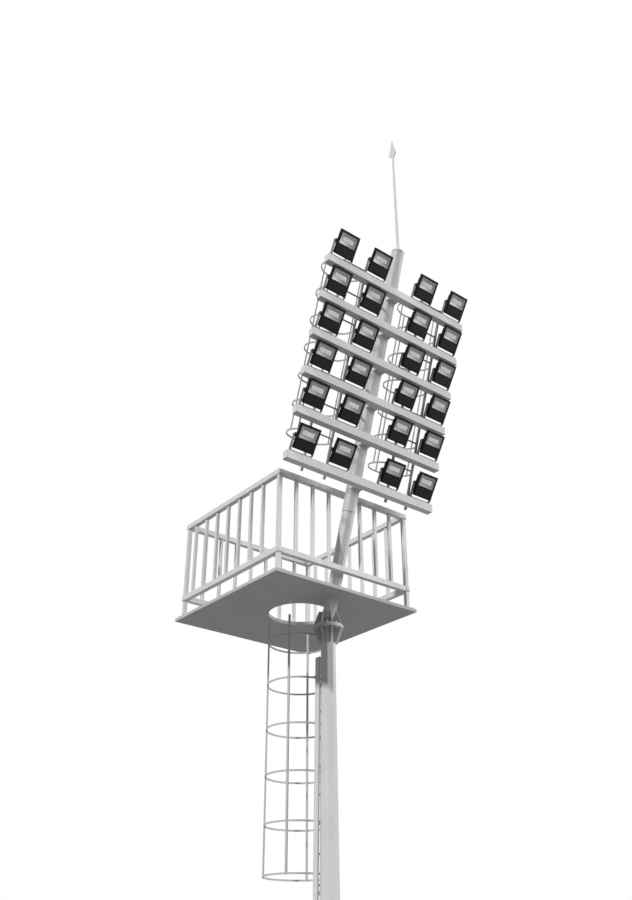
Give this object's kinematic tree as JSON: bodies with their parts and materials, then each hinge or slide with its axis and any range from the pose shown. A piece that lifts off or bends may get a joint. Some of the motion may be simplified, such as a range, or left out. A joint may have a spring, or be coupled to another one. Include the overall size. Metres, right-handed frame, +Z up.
{
  "type": "stadium floodlight pylon",
  "caption": "Octagonal floodlight mast with a railed work platform, caged ladders and a forward-leaning head whose cross arms carry tilting floodlights.",
  "frame": {"origin": "centre of the base plate's underside, on the axis of the upright mast", "axes": "+Z up the mast, -Y to the front that the floodlights face, +X completes the right-handed frame, to the right of a viewer who faces the lamps"},
  "size_m": [2.164, 3.1807, 11.4661],
  "materials": {
    "mast_grey": "light grey satin paint",
    "galvanised": "dull galvanised",
    "arm_grey": "grey satin paint",
    "platform_steel": "mid grey matt paint",
    "yoke_steel": "dark zinc",
    "lamp_black": "black powder coat"
  },
  "bodies": {
    "pylon": {"base_plate": "galvanised", "lower_mast": "mast_grey", "lower_flange": "galvanised", "upper_flange": "galvanised", "neck": "mast_grey", "head_pole": "mast_grey", "mast_cap": "mast_grey", "lightning_rod": "galvanised", "platform_floor": "platform_steel", "railing_front": "galvanised", "railing_back": "galvanised", "railing_left": "galvanised", "railing_right": "galvanised", "ladder": "galvanised", "ladder_cage": "galvanised", "cross_arms": "arm_grey", "arm_saddles": "arm_grey", "lamp_yokes": "yoke_steel", "head_ladder_left": "galvanised", "head_ladder_right": "galvanised", "head_ladder_lugs": "galvanised", "head_cage_left": "galvanised", "head_cage_right": "galvanised"},
    "floodlight_1_1": {"floodlight_1_1": "lamp_black"},
    "floodlight_1_2": {"floodlight_1_2": "lamp_black"},
    "floodlight_1_3": {"floodlight_1_3": "lamp_black"},
    "floodlight_1_4": {"floodlight_1_4": "lamp_black"},
    "floodlight_2_1": {"floodlight_2_1": "lamp_black"},
    "floodlight_2_2": {"floodlight_2_2": "lamp_black"},
    "floodlight_2_3": {"floodlight_2_3": "lamp_black"},
    "floodlight_2_4": {"floodlight_2_4": "lamp_black"},
    "floodlight_3_1": {"floodlight_3_1": "lamp_black"},
    "floodlight_3_2": {"floodlight_3_2": "lamp_black"},
    "floodlight_3_3": {"floodlight_3_3": "lamp_black"},
    "floodlight_3_4": {"floodlight_3_4": "lamp_black"},
    "floodlight_4_1": {"floodlight_4_1": "lamp_black"},
    "floodlight_4_2": {"floodlight_4_2": "lamp_black"},
    "floodlight_4_3": {"floodlight_4_3": "lamp_black"},
    "floodlight_4_4": {"floodlight_4_4": "lamp_black"},
    "floodlight_5_1": {"floodlight_5_1": "lamp_black"},
    "floodlight_5_2": {"floodlight_5_2": "lamp_black"},
    "floodlight_5_3": {"floodlight_5_3": "lamp_black"},
    "floodlight_5_4": {"floodlight_5_4": "lamp_black"},
    "floodlight_6_1": {"floodlight_6_1": "lamp_black"},
    "floodlight_6_2": {"floodlight_6_2": "lamp_black"},
    "floodlight_6_3": {"floodlight_6_3": "lamp_black"},
    "floodlight_6_4": {"floodlight_6_4": "lamp_black"}
  },
  "joints": [
    {"name": "tilt_1_1", "type": "hinge", "parent": "pylon", "child": "floodlight_1_1", "pos_m": [-0.894, -0.71941, 6.86285], "axis": [1, 0, 0], "range_deg": [-20, 20]},
    {"name": "tilt_1_2", "type": "hinge", "parent": "pylon", "child": "floodlight_1_2", "pos_m": [-0.376, -0.71941, 6.86285], "axis": [1, 0, 0], "range_deg": [-20, 20]},
    {"name": "tilt_1_3", "type": "hinge", "parent": "pylon", "child": "floodlight_1_3", "pos_m": [0.376, -0.71941, 6.86285], "axis": [1, 0, 0], "range_deg": [-20, 20]},
    {"name": "tilt_1_4", "type": "hinge", "parent": "pylon", "child": "floodlight_1_4", "pos_m": [0.894, -0.71941, 6.86285], "axis": [1, 0, 0], "range_deg": [-20, 20]},
    {"name": "tilt_2_1", "type": "hinge", "parent": "pylon", "child": "floodlight_2_1", "pos_m": [-0.894, -0.88047, 7.36149], "axis": [1, 0, 0], "range_deg": [-20, 20]},
    {"name": "tilt_2_2", "type": "hinge", "parent": "pylon", "child": "floodlight_2_2", "pos_m": [-0.376, -0.88047, 7.36149], "axis": [1, 0, 0], "range_deg": [-20, 20]},
    {"name": "tilt_2_3", "type": "hinge", "parent": "pylon", "child": "floodlight_2_3", "pos_m": [0.376, -0.88047, 7.36149], "axis": [1, 0, 0], "range_deg": [-20, 20]},
    {"name": "tilt_2_4", "type": "hinge", "parent": "pylon", "child": "floodlight_2_4", "pos_m": [0.894, -0.88047, 7.36149], "axis": [1, 0, 0], "range_deg": [-20, 20]},
    {"name": "tilt_3_1", "type": "hinge", "parent": "pylon", "child": "floodlight_3_1", "pos_m": [-0.894, -1.02216, 7.80017], "axis": [1, 0, 0], "range_deg": [-20, 20]},
    {"name": "tilt_3_2", "type": "hinge", "parent": "pylon", "child": "floodlight_3_2", "pos_m": [-0.376, -1.02216, 7.80017], "axis": [1, 0, 0], "range_deg": [-20, 20]},
    {"name": "tilt_3_3", "type": "hinge", "parent": "pylon", "child": "floodlight_3_3", "pos_m": [0.376, -1.02216, 7.80017], "axis": [1, 0, 0], "range_deg": [-20, 20]},
    {"name": "tilt_3_4", "type": "hinge", "parent": "pylon", "child": "floodlight_3_4", "pos_m": [0.894, -1.02216, 7.80017], "axis": [1, 0, 0], "range_deg": [-20, 20]},
    {"name": "tilt_4_1", "type": "hinge", "parent": "pylon", "child": "floodlight_4_1", "pos_m": [-0.894, -1.16385, 8.23886], "axis": [1, 0, 0], "range_deg": [-20, 20]},
    {"name": "tilt_4_2", "type": "hinge", "parent": "pylon", "child": "floodlight_4_2", "pos_m": [-0.376, -1.16385, 8.23886], "axis": [1, 0, 0], "range_deg": [-20, 20]},
    {"name": "tilt_4_3", "type": "hinge", "parent": "pylon", "child": "floodlight_4_3", "pos_m": [0.376, -1.16385, 8.23886], "axis": [1, 0, 0], "range_deg": [-20, 20]},
    {"name": "tilt_4_4", "type": "hinge", "parent": "pylon", "child": "floodlight_4_4", "pos_m": [0.894, -1.16385, 8.23886], "axis": [1, 0, 0], "range_deg": [-20, 20]},
    {"name": "tilt_5_1", "type": "hinge", "parent": "pylon", "child": "floodlight_5_1", "pos_m": [-0.894, -1.30554, 8.67754], "axis": [1, 0, 0], "range_deg": [-20, 20]},
    {"name": "tilt_5_2", "type": "hinge", "parent": "pylon", "child": "floodlight_5_2", "pos_m": [-0.376, -1.30554, 8.67754], "axis": [1, 0, 0], "range_deg": [-20, 20]},
    {"name": "tilt_5_3", "type": "hinge", "parent": "pylon", "child": "floodlight_5_3", "pos_m": [0.376, -1.30554, 8.67754], "axis": [1, 0, 0], "range_deg": [-20, 20]},
    {"name": "tilt_5_4", "type": "hinge", "parent": "pylon", "child": "floodlight_5_4", "pos_m": [0.894, -1.30554, 8.67754], "axis": [1, 0, 0], "range_deg": [-20, 20]},
    {"name": "tilt_6_1", "type": "hinge", "parent": "pylon", "child": "floodlight_6_1", "pos_m": [-0.894, -1.44723, 9.11623], "axis": [1, 0, 0], "range_deg": [-20, 20]},
    {"name": "tilt_6_2", "type": "hinge", "parent": "pylon", "child": "floodlight_6_2", "pos_m": [-0.376, -1.44723, 9.11623], "axis": [1, 0, 0], "range_deg": [-20, 20]},
    {"name": "tilt_6_3", "type": "hinge", "parent": "pylon", "child": "floodlight_6_3", "pos_m": [0.376, -1.44723, 9.11623], "axis": [1, 0, 0], "range_deg": [-20, 20]},
    {"name": "tilt_6_4", "type": "hinge", "parent": "pylon", "child": "floodlight_6_4", "pos_m": [0.894, -1.44723, 9.11623], "axis": [1, 0, 0], "range_deg": [-20, 20]}
  ]
}
